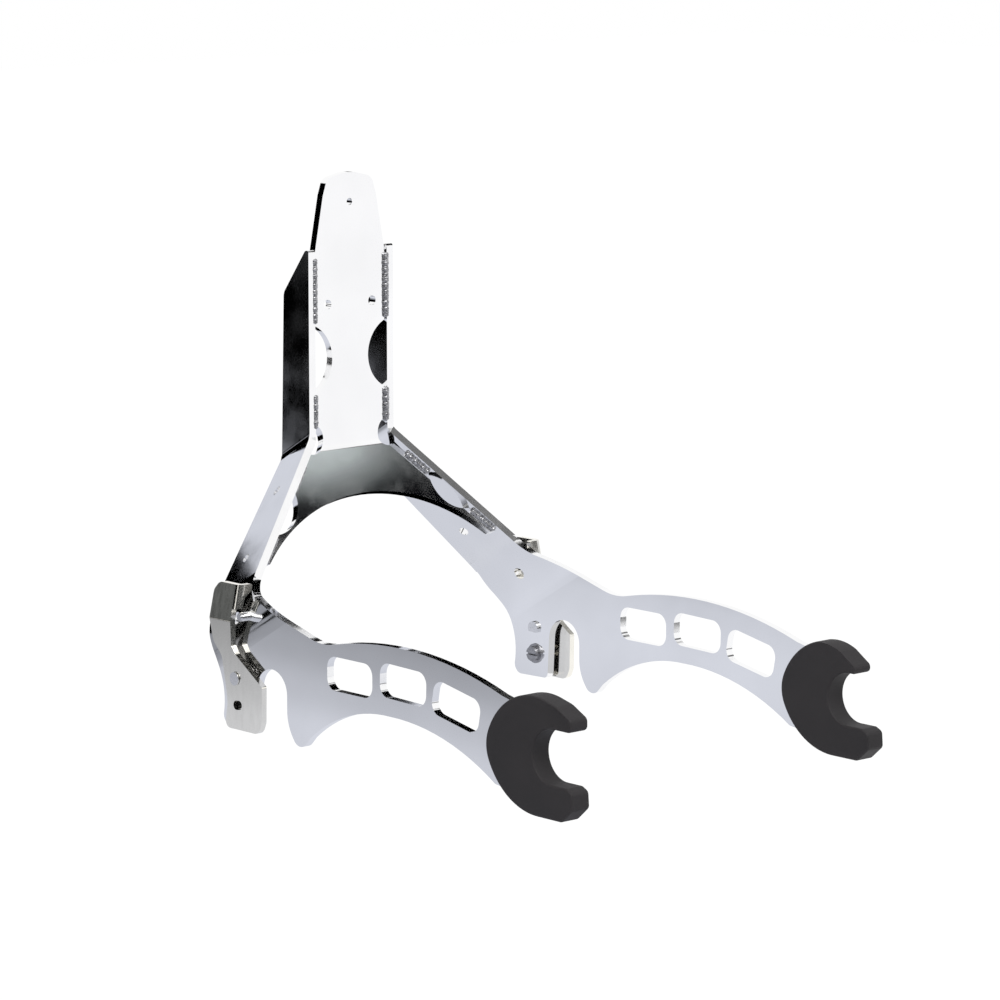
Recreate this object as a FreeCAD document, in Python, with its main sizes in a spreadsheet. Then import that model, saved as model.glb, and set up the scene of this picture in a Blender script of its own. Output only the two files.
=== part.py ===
import FreeCAD, Part
import math
import os
from FreeCAD import Vector, Placement, Rotation

os.makedirs("parts", exist_ok=True)
doc = FreeCAD.newDocument("passenger_backrest")

# The row's frame: the front docks lie on the X axis, the seat faces -Y and Z is up.
# Right is the -X side. Every length is in millimetres and every angle in degrees.
sheet = doc.addObject("Spreadsheet::Sheet", "Sizes")
SIZES = [
    ("plate_thickness", 6.0),
    ("arm_spacing", 285.0),
    ("upright_width", 80.0),
    ("upright_face", 376.5),
    ("foot_drop", 8.5),
    ("upright_height", 351.0),
    ("upright_top_width", 50.0),
    ("taper_shoulder", 17.0),
    ("taper_length", 47.0),
    ("flank_front", 375.0),
    ("flank_top", 296.0),
    ("flank_full", 263.0),
    ("flank_rear_top", 403.5),
    ("flank_rear_low", 406.8),
    ("bend_slope", 30.0),
    ("bend_angle", 42.0),
    ("bend_height", 159.0),
    ("bend_radius_upper", 8.0),
    ("bend_radius_lower", 72.0),
    ("bridge_lean", 26.3),
    ("bridge_tip_land", 5.1),
    ("bridge_arch_top", 37.0),
    ("bridge_tip", 80.0),
    ("cutout_radius", 27.0),
    ("cutout_offset", 44.0),
    ("cutout_height", 215.5),
    ("crescent_depth", 10.0),
    ("crescent_place", 44.0),
    ("relief_radius", 10.0),
    ("relief_offset", 36.0),
    ("pad_hole_radius", 3.5),
    ("pad_hole_top_radius", 2.6),
    ("pad_hole_spacing", 42.0),
    ("pad_hole_rise", 39.5),
    ("pad_hole_top_drop", 22.5),
    ("slot_length", 48.0),
    ("slot_width", 24.0),
    ("slot_radius", 8.5),
    ("notch_radius", 16.5),
    ("notch_y", 294.0),
    ("notch_z", -2.0),
    ("stem_hole_radius", 4.2),
    ("stem_hole_back", 12.0),
    ("stem_hole_rise", 40.3),
    ("leg_hole_radius", 3.6),
    ("dock_radius", 18.6),
    ("jaw_thickness", 16.0),
    ("jaw_rim", 1.6),
    ("latch_gap", 2.6),
    ("latch_thickness", 4.4),
    ("latch_front_back", 0.5),
    ("latch_play", 0.3),
    ("pivot_back", 32.5),
    ("pivot_rise", 6.0),
    ("pivot_radius", 3.5),
    ("pivot_clearance", 0.06),
    ("pivot_head_radius", 4.8),
    ("pivot_head_height", 0.9),
    ("bush_radius", 6.5),
    ("guide_front", 1.0),
    ("guide_drop", 19.0),
    ("guide_radius", 2.6),
    ("guide_nut_radius", 7.4),
    ("guide_depth", 3.2),
    ("latch_travel", 8.5),
    ("post_front", 4.7),
    ("post_rise", 44.5),
    ("post_radius", 3.2),
    ("post_length", 7.0),
    ("post_socket", 5.0),
    ("tab_fold_rise", 40.0),
    ("tab_lean", 12.0),
    ("spring_wire", 0.5),
    ("spring_radius", 8.6),
    ("weld_radius", 2.6),
]
for row, (alias, value) in enumerate(SIZES, start=1):
    sheet.set("A%d" % row, alias)
    sheet.set("B%d" % row, str(value))
    sheet.setAlias("B%d" % row, alias)
doc.recompute()
S = {alias: value for alias, value in SIZES}


def bind(obj, prop, text):
    """Drive a property from the sheet; names in the text are the sheet's aliases."""
    out = text
    for alias, _ in sorted(SIZES, key=lambda item: -len(item[0])):
        out = out.replace("<" + alias + ">", "Sizes." + alias)
    obj.setExpression(prop, out)


def plane_of(body, role):
    for feature in body.Origin.OriginFeatures:
        if feature.Role == role:
            return feature
    raise RuntimeError("no plane " + role)


def new_body(name):
    return doc.addObject("PartDesign::Body", name)


def new_sketch(body, name, role="YZ_Plane", offset=None):
    sketch = body.newObject("Sketcher::SketchObject", name)
    sketch.AttachmentSupport = [(plane_of(body, role), "")]
    sketch.MapMode = "FlatFace"
    if offset is not None:
        sketch.AttachmentOffset = offset
    return sketch


def add_wire(sketch, points, close=True):
    """Lines through points (x, y, radius); a radius above zero rounds that corner with an arc."""
    count = len(points)
    corners = []
    for i, (x, y, r) in enumerate(points):
        here = Vector(x, y, 0)
        if r <= 0:
            corners.append((here, here, None))
            continue
        before = Vector(*points[(i - 1) % count][:2], 0)
        after = Vector(*points[(i + 1) % count][:2], 0)
        a = (before - here).normalize()
        b = (after - here).normalize()
        half = a.getAngle(b) / 2
        reach = r / math.tan(half)
        middle = (a + b).normalize() * (r / math.sin(half)) + here
        inner = middle - (a + b).normalize() * r
        corners.append((here + a * reach, here + b * reach, inner))
    parts = []
    for i in range(count):
        start, end, inner = corners[i]
        if inner is not None:
            parts.append(Part.Arc(start, inner, end))
        if i + 1 < count or close:
            nxt = corners[(i + 1) % count][0]
            if (nxt - end).Length > 1e-6:
                parts.append(Part.LineSegment(end, nxt))
    sketch.addGeometry(parts, False)
    return sketch


def add_path(sketch, start, steps):
    """A closed outline from start: ('l', point) is a line, ('a', via, point) is an arc."""
    here = Vector(*start, 0)
    parts = []
    for step in steps:
        end = Vector(*step[-1], 0)
        if step[0] == "l":
            parts.append(Part.LineSegment(here, end))
        else:
            parts.append(Part.Arc(here, Vector(*step[1], 0), end))
        here = end
    sketch.addGeometry(parts, False)
    return sketch


def add_circle(sketch, x, y, radius, x_text=None, y_text=None, r_text=None):
    """A circle held by its radius and its distances from the sketch's axes."""
    import Sketcher
    index = sketch.addGeometry(Part.Circle(Vector(x, y, 0), Vector(0, 0, 1), radius), False)
    for kind, value, text in (("Radius", radius, r_text), ("DistanceX", x, x_text), ("DistanceY", y, y_text)):
        if kind == "Radius":
            number = sketch.addConstraint(Sketcher.Constraint("Radius", index, value))
        else:
            number = sketch.addConstraint(Sketcher.Constraint(kind, -1, 1, index, 3, value))
        if text:
            bind(sketch, "Constraints[%d]" % number, text)
    return index


def pad(body, sketch, name, length, text=None, both=False, backwards=False):
    feature = body.newObject("PartDesign::Pad", name)
    feature.Profile = sketch
    feature.Length = length
    if text:
        bind(feature, "Length", text)
    feature.Midplane = both
    feature.Reversed = backwards
    sketch.Visibility = False
    doc.recompute()
    return feature


def combine(kind, name, *objects):
    feature = doc.addObject(kind, name)
    if kind in ("Part::MultiFuse", "Part::MultiCommon"):
        feature.Shapes = list(objects)
    else:
        feature.Base, feature.Tool = objects
    doc.recompute()
    return feature


def mirrored(source, name):
    feature = doc.addObject("Part::Mirroring", name)
    feature.Source = source
    feature.Base = Vector(0, 0, 0)
    feature.Normal = Vector(1, 0, 0)
    doc.recompute()
    return feature


T = S["plate_thickness"]
XA = S["arm_spacing"] / 2
XU = S["upright_width"] / 2
SLOPE = math.radians(S["bend_slope"])
BEND = math.radians(S["bend_angle"])
BY, BZ = S["upright_face"], S["bend_height"]
# b runs along both bends, up and to the front. down is the same plane's other way, down and to the front.
B = Vector(0, -math.cos(SLOPE), math.sin(SLOPE))
DOWN = Vector(0, -math.sin(SLOPE), -math.cos(SLOPE))
NOTCH = (S["notch_y"], S["notch_z"])
PY = NOTCH[0] + S["pivot_back"]
PZ = NOTCH[1] + S["pivot_rise"]
GY = PY - S["guide_front"]
GZ = PZ - S["guide_drop"]
POST = (PY - S["post_front"], PZ + S["post_rise"])
LEG_DROP = (XA - XU) / math.tan(BEND)
LEG_LENGTH = (XA - XU) / math.sin(BEND)


# The left side plate is one sheet with two bends: its section, swept along the bends.
def sheet_section():
    outer = [(XU, 150), (XU, 0), (XA, -LEG_DROP), (XA, -400)]
    shift = T * math.tan(BEND / 2)
    inner = [(XA - T, -400), (XA - T, -LEG_DROP - shift), (XU - T, -shift), (XU - T, 150)]
    upper, lower = S["bend_radius_upper"], S["bend_radius_lower"]
    radii_out = [0, upper, lower + T, 0]
    radii_in = [0, lower, upper + T, 0]
    return [(x, y, r) for (x, y), r in zip(outer + inner, radii_out + radii_in)]


sheet_body = new_body("bent_sheet")
section = new_sketch(sheet_body, "sheet_section", "XY_Plane",
                     Placement(Vector(0, BY, BZ), Rotation(Vector(1, 0, 0), 90 - S["bend_slope"])))
add_wire(section, sheet_section())
doc.recompute()
pad(sheet_body, section, "sheet_sweep", 800, both=True)

# The arm's outline in side view, from the lower bend to the front dock.
LEG_FRONT = (333.5, 73.0, 0.443)
LEG_REAR = (374.9, 33.0, 0.268)


def along(line, z):
    return (line[0] + line[2] * (z - line[1]), z)


def polar_at(radius, degrees):
    return (radius * math.cos(math.radians(degrees)), radius * math.sin(math.radians(degrees)))


def arm_outline():
    ny, nz, nr = S["notch_y"], S["notch_z"], S["notch_radius"]
    start = along(LEG_FRONT, 100)
    steps = [
        ("l", along(LEG_FRONT, 76)),
        ("a", (328.6, 66.4), (319.0, 60.9)),
        ("l", (252.0, 42.6)),
        ("a", (238.5, 40.6), (225.0, 42.2)),
        ("a", (155.0, 49.2), (53.5, 32.5)),
        ("l", (30.0, 27.5)),
        ("l", (12.0, 25.5)),
        ("l", polar_at(S["dock_radius"] + 4.0, 78.0)),
        ("a", (S["dock_radius"] + 4.0, 0.0), polar_at(S["dock_radius"] + 4.0, -95.0)),
        ("l", (-13.0, -24.5)),
        ("l", (-15.0, -28.5)),
        ("l", (-8.5, -35.0)),
        ("l", (8.0, -37.0)),
        ("l", (32.0, -32.0)),
        ("l", (60.0, -28.3)),
        ("a", (113.5, -5.9), (167.0, 0.4)),
        ("a", (212.0, -6.3), (252.0, -28.0)),
        ("l", (257.0, -33.2)),
        ("a", (264.0, -36.0), (270.5, -32.0)),
        ("a", (ny - nr - 1.5, nz - 20.0), (ny - nr, nz - 9.0)),
        ("l", (ny - nr, nz)),
        ("a", (ny, nz + nr), (ny + nr, nz)),
        ("l", (ny + nr + 1.5, nz - 26.0)),
        ("a", (ny + nr + 2.7, nz - 29.0), (ny + nr + 5.5, nz - 30.2)),
        ("l", (341.0, -32.8)),
        ("a", (346.5, -30.6), (348.5, -25.0)),
        ("a", (350.0, 0.0), (361.0, 18.0)),
        ("l", (368.4, 25.9)),
        ("a", (372.4, 31.5), (375.0, 38.5)),
        ("l", along(LEG_REAR, 80)),
    ]
    steps.append(("l", start))
    return start, steps


arm_body = new_body("arm_area")
arm_sketch = new_sketch(arm_body, "arm_outline")
add_path(arm_sketch, *arm_outline())
doc.recompute()
pad(arm_body, arm_sketch, "arm_pad", 250)

# The leg's outline, drawn on the leg's own slanted face: u along the bends, v down the leg.
leg_body = new_body("leg_area")
leg_turn = Rotation(B, Vector(math.sin(BEND), DOWN.y * math.cos(BEND), DOWN.z * math.cos(BEND)), Vector(0, 0, 0), "XYZ")
yz_turn = Rotation(Vector(0, 1, 0), Vector(0, 0, 1), Vector(1, 0, 0), "XYZ")
leg_place = Placement(Vector(0, 0, 0), yz_turn).inverse().multiply(Placement(Vector(XU, BY, BZ), leg_turn))
leg_sketch = new_sketch(leg_body, "leg_outline", "YZ_Plane", leg_place)
add_wire(leg_sketch, [(1.8, -0.5, 0), (-6.0, LEG_LENGTH - 22, 0), (-59.0, LEG_LENGTH - 22, 0), (-35.0, -0.5, 0)])
doc.recompute()
pad(leg_body, leg_sketch, "leg_pad", 60, both=True)

# The flank stands beside the upright and tapers away at its top.
flank_body = new_body("flank_area")
flank_sketch = new_sketch(flank_body, "flank_outline")
add_wire(flank_sketch, [
    (S["flank_front"], S["flank_top"], 2.0), (S["flank_front"] + 4.0, S["flank_top"] - 1.0, 2.0),
    (S["flank_rear_top"], S["flank_full"], 8.0), (S["flank_rear_low"], 141.5, 0),
    (S["flank_rear_low"] - 4.8, 127.0, 0), (S["flank_front"] - 5.4, 148.8, 0), (S["flank_front"], 159.5, 0)])
doc.recompute()
pad(flank_body, flank_sketch, "flank_pad", XU + 14)

# The flank and the arm may only keep sheet on their own side of the bends.
upper_body = new_body("upper_side")
upper_sketch = new_sketch(upper_body, "upper_half", "XY_Plane", Placement(Vector(0, BY, BZ), Rotation(Vector(1, 0, 0), 90 - S["bend_slope"])))
add_wire(upper_sketch, [(0, -5, 0), (200, -5, 0), (200, 200, 0), (0, 200, 0)])
doc.recompute()
pad(upper_body, upper_sketch, "upper_pad", 800, both=True)
lower_body = new_body("lower_side")
lower_sketch = new_sketch(lower_body, "lower_half", "XY_Plane", Placement(Vector(0, BY, BZ), Rotation(Vector(1, 0, 0), 90 - S["bend_slope"])))
add_wire(lower_sketch, [(0, -LEG_DROP + 20, 0), (250, -LEG_DROP + 20, 0), (250, -450, 0), (0, -450, 0)])
doc.recompute()
pad(lower_body, lower_sketch, "lower_pad", 900, both=True)
flank_keep = combine("Part::MultiCommon", "flank_keep", flank_body, upper_body)
arm_keep = combine("Part::MultiCommon", "arm_keep", arm_body, lower_body)
outline = combine("Part::MultiFuse", "side_outline", flank_keep, leg_body, arm_keep)
side_blank = combine("Part::MultiCommon", "side_blank", sheet_body, outline)

# Slots and holes, cut square through the arm and through the leg.
holes_body = new_body("arm_holes")
holes_sketch = new_sketch(holes_body, "arm_hole_outlines")
SLOTS = [((209.5, 21.5), 0.0), ((153.5, 24.6), -1.5), ((99.3, 17.6), -11.0)]
for (cy, cz), tilt in SLOTS:
    turn = math.radians(-tilt)
    corners = []
    for sx, sy in ((-1, -1), (1, -1), (1, 1), (-1, 1)):
        px = sx * S["slot_length"] / 2
        py = sy * S["slot_width"] / 2
        corners.append((cy + px * math.cos(turn) - py * math.sin(turn), cz + px * math.sin(turn) + py * math.cos(turn), S["slot_radius"]))
    add_wire(holes_sketch, corners)
add_circle(holes_sketch, PY + S["stem_hole_back"], PZ + S["stem_hole_rise"], S["stem_hole_radius"],
           "<notch_y> + <pivot_back> + <stem_hole_back>", "<notch_z> + <pivot_rise> + <stem_hole_rise>", "<stem_hole_radius>")
PIVOT_Y_TEXT = "<notch_y> + <pivot_back>"
PIVOT_Z_TEXT = "<notch_z> + <pivot_rise>"
add_circle(holes_sketch, PY, PZ, S["pivot_radius"], PIVOT_Y_TEXT, PIVOT_Z_TEXT, "<pivot_radius>")
add_circle(holes_sketch, GY, GZ, S["guide_radius"], PIVOT_Y_TEXT + " - <guide_front>", "", "<guide_radius>")
doc.recompute()
pad(holes_body, holes_sketch, "arm_hole_pad", 260)
leg_holes_body = new_body("leg_holes")
leg_holes_sketch = new_sketch(leg_holes_body, "leg_hole_outlines", "YZ_Plane", leg_place)
for u, v in ((-22.0, 39.0), (-32.5, 98.0)):
    add_circle(leg_holes_sketch, u, v, S["leg_hole_radius"], r_text="<leg_hole_radius>")
doc.recompute()
pad(leg_holes_body, leg_holes_sketch, "leg_hole_pad", 40, both=True)
post_socket = doc.addObject("Part::Cylinder", "post_socket")
post_socket.Radius = S["post_radius"]
post_socket.Height = 40
post_socket.Placement = Placement(Vector(XA - S["post_socket"], POST[0], POST[1]), Rotation(Vector(0, 1, 0), 90))
bind(post_socket, "Radius", "<post_radius>")
side_holes = combine("Part::MultiFuse", "side_holes", holes_body, leg_holes_body, post_socket)
side_left = combine("Part::Cut", "side_plate_left", side_blank, side_holes)
side_right = mirrored(side_left, "side_plate_right")

# The upright: a flat plate that tapers to its top and is bent at its foot into the arched bridge.
XI = XU - T
LEAN = math.radians(S["bridge_lean"])
FOOT = BZ - S["foot_drop"]
centre_body = new_body("centre_plate")
profile = new_sketch(centre_body, "bent_profile", "YZ_Plane")
reach = 130.0
front = BY
fold = T * math.tan(LEAN / 2)
add_wire(profile, [
    (front, 400.0, 0), (front, FOOT, 4.0 + T),
    (front - reach * math.sin(LEAN), FOOT - reach * math.cos(LEAN), 0),
    (front - reach * math.sin(LEAN) + T * math.cos(LEAN), FOOT - reach * math.cos(LEAN) - T * math.sin(LEAN), 0),
    (front + T, FOOT - fold, 4.0), (front + T, 400.0, 0)])
doc.recompute()
pad(centre_body, profile, "bent_strip", 320, both=True)

INSET = 0.25
W_TOP = S["upright_top_width"] / 2
keep_body = new_body("upright_area")
keep_sketch = new_sketch(keep_body, "upright_outline", "XZ_Plane")
top = S["upright_height"]
taper_top = top - S["taper_shoulder"]
taper_foot = taper_top - S["taper_length"]
add_wire(keep_sketch, [
    (-XI, FOOT - 2, 0), (XI, FOOT - 2, 0), (XI, taper_foot, 6.0), (W_TOP, taper_top, 10.0), (W_TOP - 4.0, top - 5.0, 8.0),
    (0, top, 40.0), (-W_TOP + 4.0, top - 5.0, 8.0), (-W_TOP, taper_top, 10.0), (-XI, taper_foot, 6.0)])
doc.recompute()
pad(keep_body, keep_sketch, "upright_pad", 800, both=True)

# The bridge's outline on its own leaning plane: x across, y up along the plate.
bridge_body = new_body("bridge_area")
bridge_place = Placement(Vector(0, front, FOOT), Rotation(Vector(1, 0, 0), 90 - S["bridge_lean"]))
bridge_sketch = new_sketch(bridge_body, "bridge_outline", "XY_Plane", bridge_place)
NX = math.cos(BEND)
NY = math.sin(BEND) * math.sin(SLOPE)
NZ = math.sin(BEND) * math.cos(SLOPE)


def leg_gap(v, depth=0.0):
    """Half the clear width between the legs' inner faces, v down the bridge and depth behind its face."""
    y = front - v * math.sin(LEAN) + depth * math.cos(LEAN)
    z = FOOT - v * math.cos(LEAN) - depth * math.sin(LEAN)
    return XU + (-T - NY * (y - BY) - NZ * (z - BZ)) / NX


ARCH = S["bridge_arch_top"]
tip_v = S["bridge_tip"]
tip_x = leg_gap(tip_v) - INSET
arch_x = tip_x - S["bridge_tip_land"]
shoulder = leg_gap(8.0) - INSET
add_path(bridge_sketch, (-shoulder, -8.0), [
    ("l", (-XI + 2, 4.0)), ("l", (XI - 2, 4.0)), ("l", (shoulder, -8.0)), ("l", (tip_x, -tip_v)),
    ("l", (arch_x, -tip_v)), ("a", (0.0, -ARCH), (-arch_x, -tip_v)), ("l", (-tip_x, -tip_v)),
    ("l", (-shoulder, -8.0))])
doc.recompute()
pad(bridge_body, bridge_sketch, "bridge_pad", 60, both=True)
area = combine("Part::MultiFuse", "centre_area", keep_body, bridge_body)
centre_blank = combine("Part::MultiCommon", "centre_blank", centre_body, area)

# Half-round cut-outs beside the welds, the reliefs at the fold and the holes for the pad.
cut_body = new_body("upright_cuts")
cut_sketch = new_sketch(cut_body, "upright_cut_outlines", "XZ_Plane")
for side in (-1, 1):
    add_circle(cut_sketch, side * S["cutout_offset"], S["cutout_height"], S["cutout_radius"], r_text="<cutout_radius>")
    add_circle(cut_sketch, side * S["pad_hole_spacing"] / 2, S["cutout_height"] + S["pad_hole_rise"], S["pad_hole_radius"], r_text="<pad_hole_radius>")
add_circle(cut_sketch, 0, top - S["pad_hole_top_drop"], S["pad_hole_top_radius"], r_text="<pad_hole_top_radius>")
doc.recompute()
pad(cut_body, cut_sketch, "upright_cut_pad", 800, both=True)
relief_body = new_body("bridge_cuts")
relief_sketch = new_sketch(relief_body, "bridge_cut_outlines", "XY_Plane", bridge_place)
slant = math.atan2(leg_gap(70) - leg_gap(40), 30.0)
place = S["crescent_place"]
out = S["cutout_radius"] - S["crescent_depth"]
for side in (-1, 1):
    add_circle(relief_sketch, side * S["relief_offset"], 6.0, S["relief_radius"], r_text="<relief_radius>")
    add_circle(relief_sketch, side * (leg_gap(place) + out * math.cos(slant)), -place + out * math.sin(slant), S["cutout_radius"], r_text="<cutout_radius>")
doc.recompute()
pad(relief_body, relief_sketch, "bridge_cut_pad", 44, both=True)
cuts = combine("Part::MultiFuse", "centre_cuts", cut_body, relief_body)
centre_plate = combine("Part::Cut", "centre_plate_finished", centre_blank, cuts)

# The rubber-covered jaw on each arm's end: a C that closes on the front dock from behind.
def arc_corner(centre, radius, start, end):
    """The corner whose rounding is the arc of this circle from start to end, in degrees."""
    middle = math.radians((start + end) / 2)
    far = radius / math.cos(math.radians(abs(end - start) / 2))
    return (centre[0] + far * math.cos(middle), centre[1] + far * math.sin(middle), radius)


def circle_meeting(a, reach_a, b, reach_b):
    """The rearmost point at the given distances from two centres."""
    gap = math.hypot(b[0] - a[0], b[1] - a[1])
    along_line = (reach_a ** 2 - reach_b ** 2 + gap ** 2) / (2 * gap)
    aside = math.sqrt(reach_a ** 2 - along_line ** 2)
    ex, ey = (b[0] - a[0]) / gap, (b[1] - a[1]) / gap
    ends = [(a[0] + along_line * ex + k * aside * ey, a[1] + along_line * ey - k * aside * ex) for k in (1, -1)]
    return max(ends)


def direction(a, b):
    return math.degrees(math.atan2(b[1] - a[1], b[0] - a[0]))


def jaw(name, lip, top_centre, top_start):
    """lip lists the upper lip's corners; the back's arc over the dock has top_centre and begins at top_start."""
    d = S["dock_radius"]
    top_radius, turn_radius, low_centre, low_radius = 48.5, 25.0, (14.0, 11.0), 53.0
    turn_centre = circle_meeting(top_centre, top_radius - turn_radius, low_centre, low_radius - turn_radius)
    high = direction(top_centre, turn_centre)
    low = direction(low_centre, turn_centre)
    body = new_body(name + "_solid")
    sketch = new_sketch(body, name + "_outline", "YZ_Plane", Placement(Vector(0, 0, XA - T / 2), Rotation()))
    bind(sketch, "AttachmentOffset.Base.z", "<arm_spacing> / 2 - <plate_thickness> / 2")
    add_wire(sketch, lip + [
        arc_corner(top_centre, top_radius, top_start, high), arc_corner(turn_centre, turn_radius, high, low),
        arc_corner(low_centre, low_radius, low, -90.0), (-9.5, -42.0, 5.0), (-20.5, -32.3, 4.0), (-19.6, -21.2, 4.0),
        (-14.0, -d, 3.0), arc_corner((0, 0), d, -90.0, 0.0), arc_corner((0, 0), d, 0.0, 90.0)])
    doc.recompute()
    block_pad = pad(body, sketch, name + "_pad", S["jaw_thickness"], "<jaw_thickness>", both=True)
    faces = []
    for index, face in enumerate(block_pad.Shape.Faces, start=1):
        if face.Surface.TypeId == "Part::GeomPlane" and abs(face.normalAt(0, 0).x) > 0.99:
            faces.append("Face%d" % index)
    rim = body.newObject("PartDesign::Fillet", name + "_rim_round")
    rim.Base = (block_pad, faces)
    bind(rim, "Radius", "<jaw_rim>")
    doc.recompute()
    if rim.Shape.isNull() or not rim.Shape.isValid():
        raise RuntimeError("the rim of " + name + " did not round")
    return body


# The left jaw's upper lip is shorter and thinner: its end is trimmed off the same block.
jaw_solid = jaw("jaw", [(-18.6, S["dock_radius"], 3.5), (-18.4, 27.0, 4.0), (-4.6, 34.3, 20.0)], (17.8, -10.1), 104.0)
trim_body = new_body("lip_trim")
trim_sketch = new_sketch(trim_body, "lip_trim_outline")
add_path(trim_sketch, (-3.2, 12.0), [
    ("l", (-3.2, S["dock_radius"] - 0.6)), ("a", (-6.6, 21.6), (-4.2, 25.4)), ("l", (7.0, 32.8)), ("a", (20.0, 36.6), (34.0, 36.0)),
    ("l", (60.0, 31.0)), ("l", (60.0, 60.0)), ("l", (-40.0, 60.0)), ("l", (-40.0, 12.0)), ("l", (-3.2, 12.0))])
doc.recompute()
pad(trim_body, trim_sketch, "lip_trim_pad", 200)
jaw_left = combine("Part::Cut", "jaw_left", combine("Part::Cut", "jaw_short", jaw_solid, trim_body), side_left)
jaw_right_raw = combine("Part::Cut", "jaw_right_raw", jaw_solid, side_left)
jaw_right = mirrored(jaw_right_raw, "jaw_right")

# The latch lever: one flat plate outside the arm, with a finger flange folded in at its front edge.
XL = XA + S["latch_gap"]
LT = S["latch_thickness"]
PLAY = S["latch_play"]
FRONT = PY + S["latch_front_back"]
lever_body = new_body("lever_blank")
lever_sketch = new_sketch(lever_body, "lever_outline", "YZ_Plane", Placement(Vector(0, 0, XL), Rotation()))
bind(lever_sketch, "AttachmentOffset.Base.z", "<arm_spacing> / 2 + <latch_gap>")
LEVER_TOP = PZ + 66.0
TAB_FOLD = PZ + S["tab_fold_rise"]
LEAN_TAB = math.radians(S["tab_lean"])
TAB_SHIFT = (LEVER_TOP - TAB_FOLD) * math.tan(LEAN_TAB)
add_wire(lever_sketch, [
    (FRONT, LEVER_TOP, 0), (PY + 23.5, LEVER_TOP, 6.0), (PY + 28.3, PZ + 60.0, 6.0), (PY + 28.7, PZ + 40.0, 8.0),
    (PY + 24.5, PZ + 24.0, 10.0), (PY + 15.0, PZ + 14.5, 8.0), (PY + 10.1, PZ - 9.0, 30.0), (PY + 8.9, PZ - 19.0, 10.0),
    (PY + 12.1, PZ - 36.4, 5.0), (PY - 25.5, PZ - 36.4, 7.0), (NOTCH[0] + 3.3, PZ - 28.0, 6.0), (NOTCH[0] + 2.8, PZ - 2.0, 2.0),
    (PY, PZ + 17.5, 4.0), (PY + 4.5, PZ + 23.0, 4.0), (PY + 5.5, PZ + 49.0, 1.0), (FRONT, PZ + 49.0, 0)])
doc.recompute()
pad(lever_body, lever_sketch, "lever_pad", 40, both=True)
strip_body = new_body("lever_strip")
strip_sketch = new_sketch(strip_body, "lever_section", "XZ_Plane")
add_wire(strip_sketch, [
    (XL, PZ - 60.0, 0), (XL + LT, PZ - 60.0, 0), (XL + LT, TAB_FOLD, 2.0 + LT), (XL + LT - TAB_SHIFT, LEVER_TOP, 0),
    (XL + LT - TAB_SHIFT, LEVER_TOP + 8.0, 0), (XL - TAB_SHIFT, LEVER_TOP + 8.0, 0), (XL - TAB_SHIFT, LEVER_TOP, 0),
    (XL, TAB_FOLD - LT * math.tan(LEAN_TAB / 2), 2.0)])
doc.recompute()
pad(strip_body, strip_sketch, "strip_pad", 900, both=True)
flange_body = new_body("lever_flange")
flange_sketch = new_sketch(flange_body, "flange_outline", "XZ_Plane", Placement(Vector(0, 0, -FRONT), Rotation()))
add_wire(flange_sketch, [
    (XL + LT - (PZ + 49.0 - TAB_FOLD) * math.tan(LEAN_TAB), PZ + 49.0, 0), (XA - 0.4, PZ + 49.0, 1.0), (XA - 2.8, PZ + 56.5, 2.0), (XA - 9.3, PZ + 61.5, 1.0),
    (XA - 9.5, LEVER_TOP, 1.5), (XL + LT - TAB_SHIFT, LEVER_TOP, 0)])
doc.recompute()
pad(flange_body, flange_sketch, "flange_pad", LT, "<latch_thickness>", backwards=True)
fold_body = new_body("lever_fold")
fold_place = Placement(Vector(XL + LT, FRONT, TAB_FOLD), Rotation(Vector(0, 1, 0), -S["tab_lean"]))
fold_sketch = new_sketch(fold_body, "fold_outline", "XY_Plane", fold_place)
cr = LT + 0.5
mid = cr * (1 - math.cos(math.pi / 4))
add_path(fold_sketch, (-cr, -1), [
    ("l", (3, -1)), ("l", (3, cr)), ("l", (0, cr)), ("a", (-mid, mid), (-cr, 0)), ("l", (-cr, -1))])
doc.recompute()
pad(fold_body, fold_sketch, "fold_pad", 60)
lever_sheet = combine("Part::MultiCommon", "lever_sheet", lever_body, strip_body)
lever_raw = combine("Part::Cut", "lever_folded", combine("Part::MultiFuse", "lever_joined", lever_sheet, flange_body), fold_body)
lever_holes = new_body("lever_holes")
lever_hole_sketch = new_sketch(lever_holes, "lever_hole_outlines")
add_circle(lever_hole_sketch, PY, PZ, S["pivot_radius"] + S["pivot_clearance"], PIVOT_Y_TEXT, PIVOT_Z_TEXT,
           "<pivot_radius> + <pivot_clearance>")
swing = math.hypot(GY - PY, GZ - PZ)
angle = math.atan2(GZ - PZ, GY - PY)
travel = math.radians(S["latch_travel"])
slot = S["guide_radius"] + 0.7


def polar(radius, turn, away=0.0):
    """A point on a circle round the pivot, moved along the circle's tangent by away."""
    return (PY + radius * math.cos(turn) - away * math.sin(turn), PZ + radius * math.sin(turn) + away * math.cos(turn))


# The slot runs the other way round the pivot than the lever swings.
first, last = angle, angle - travel
add_path(lever_hole_sketch, polar(swing + slot, first), [
    ("a", polar(swing + slot, (first + last) / 2), polar(swing + slot, last)),
    ("a", polar(swing, last, -slot), polar(swing - slot, last)),
    ("a", polar(swing - slot, (first + last) / 2), polar(swing - slot, first)),
    ("a", polar(swing, first, slot), polar(swing + slot, first))])
doc.recompute()
pad(lever_holes, lever_hole_sketch, "lever_hole_pad", 220)
latch_left = combine("Part::Cut", "latch_lever_left", lever_raw, lever_holes)
latch_right = mirrored(latch_left, "latch_lever_right")


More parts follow.
